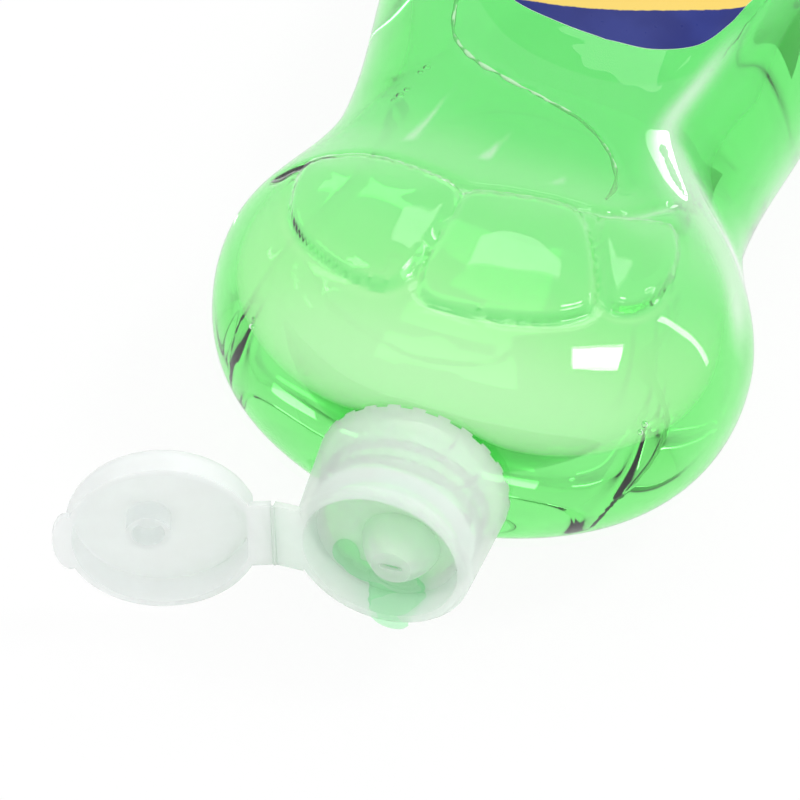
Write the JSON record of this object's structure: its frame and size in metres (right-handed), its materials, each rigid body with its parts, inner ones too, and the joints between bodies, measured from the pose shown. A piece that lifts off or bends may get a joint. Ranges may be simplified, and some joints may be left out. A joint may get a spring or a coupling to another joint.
{
  "type": "dish soap bottle",
  "caption": "Transparent squeeze bottle of green dish soap lying on its back, with a wide rounded shoulder, a waist, a front label and an open flip-top screw cap.",
  "frame": {"origin": "centre line of the bottle at the base's flat face", "axes": "+Y out of the base along the bottle's long axis, so the cap points to -Y; +Z out of the front, up as the bottle lies on its back; +X across the bottle, the lid opens to -X"},
  "size_m": [0.1092, 0.2429, 0.0618],
  "materials": {
    "bottle": "clear, faintly green PET",
    "soap": "clear green liquid",
    "label": "glossy printed film",
    "cap": "translucent natural polypropylene",
    "seal": "soft pale foam"
  },
  "bodies": {
    "bottle": {"bottle": "bottle", "dish_soap": "soap", "front_label": "label"},
    "seal": {"seal_ring": "seal"},
    "cap": {"cap_base": "cap"},
    "lid": {"flip_lid": "cap"}
  },
  "joints": [
    {"name": "cap_lift", "type": "slide", "parent": "bottle", "child": "seal", "axis": [0, -1, 0], "range_m": [0, 0.00631]},
    {"name": "cap_twist", "type": "hinge", "parent": "seal", "child": "cap", "pos_m": [0, -0.2091, 0], "axis": [0, -1, 0], "range_deg": [0, 540]},
    {"name": "lid_hinge", "type": "hinge", "parent": "cap", "child": "lid", "pos_m": [-0.01947, -0.2297, -0.00222], "axis": [-0.1132, 0, 0.9936], "range_deg": [-20, 160]}
  ],
  "couplings": [
    {"joint": "cap_lift", "follows": "cap_twist", "m_per_rad": 0.00066845}
  ]
}
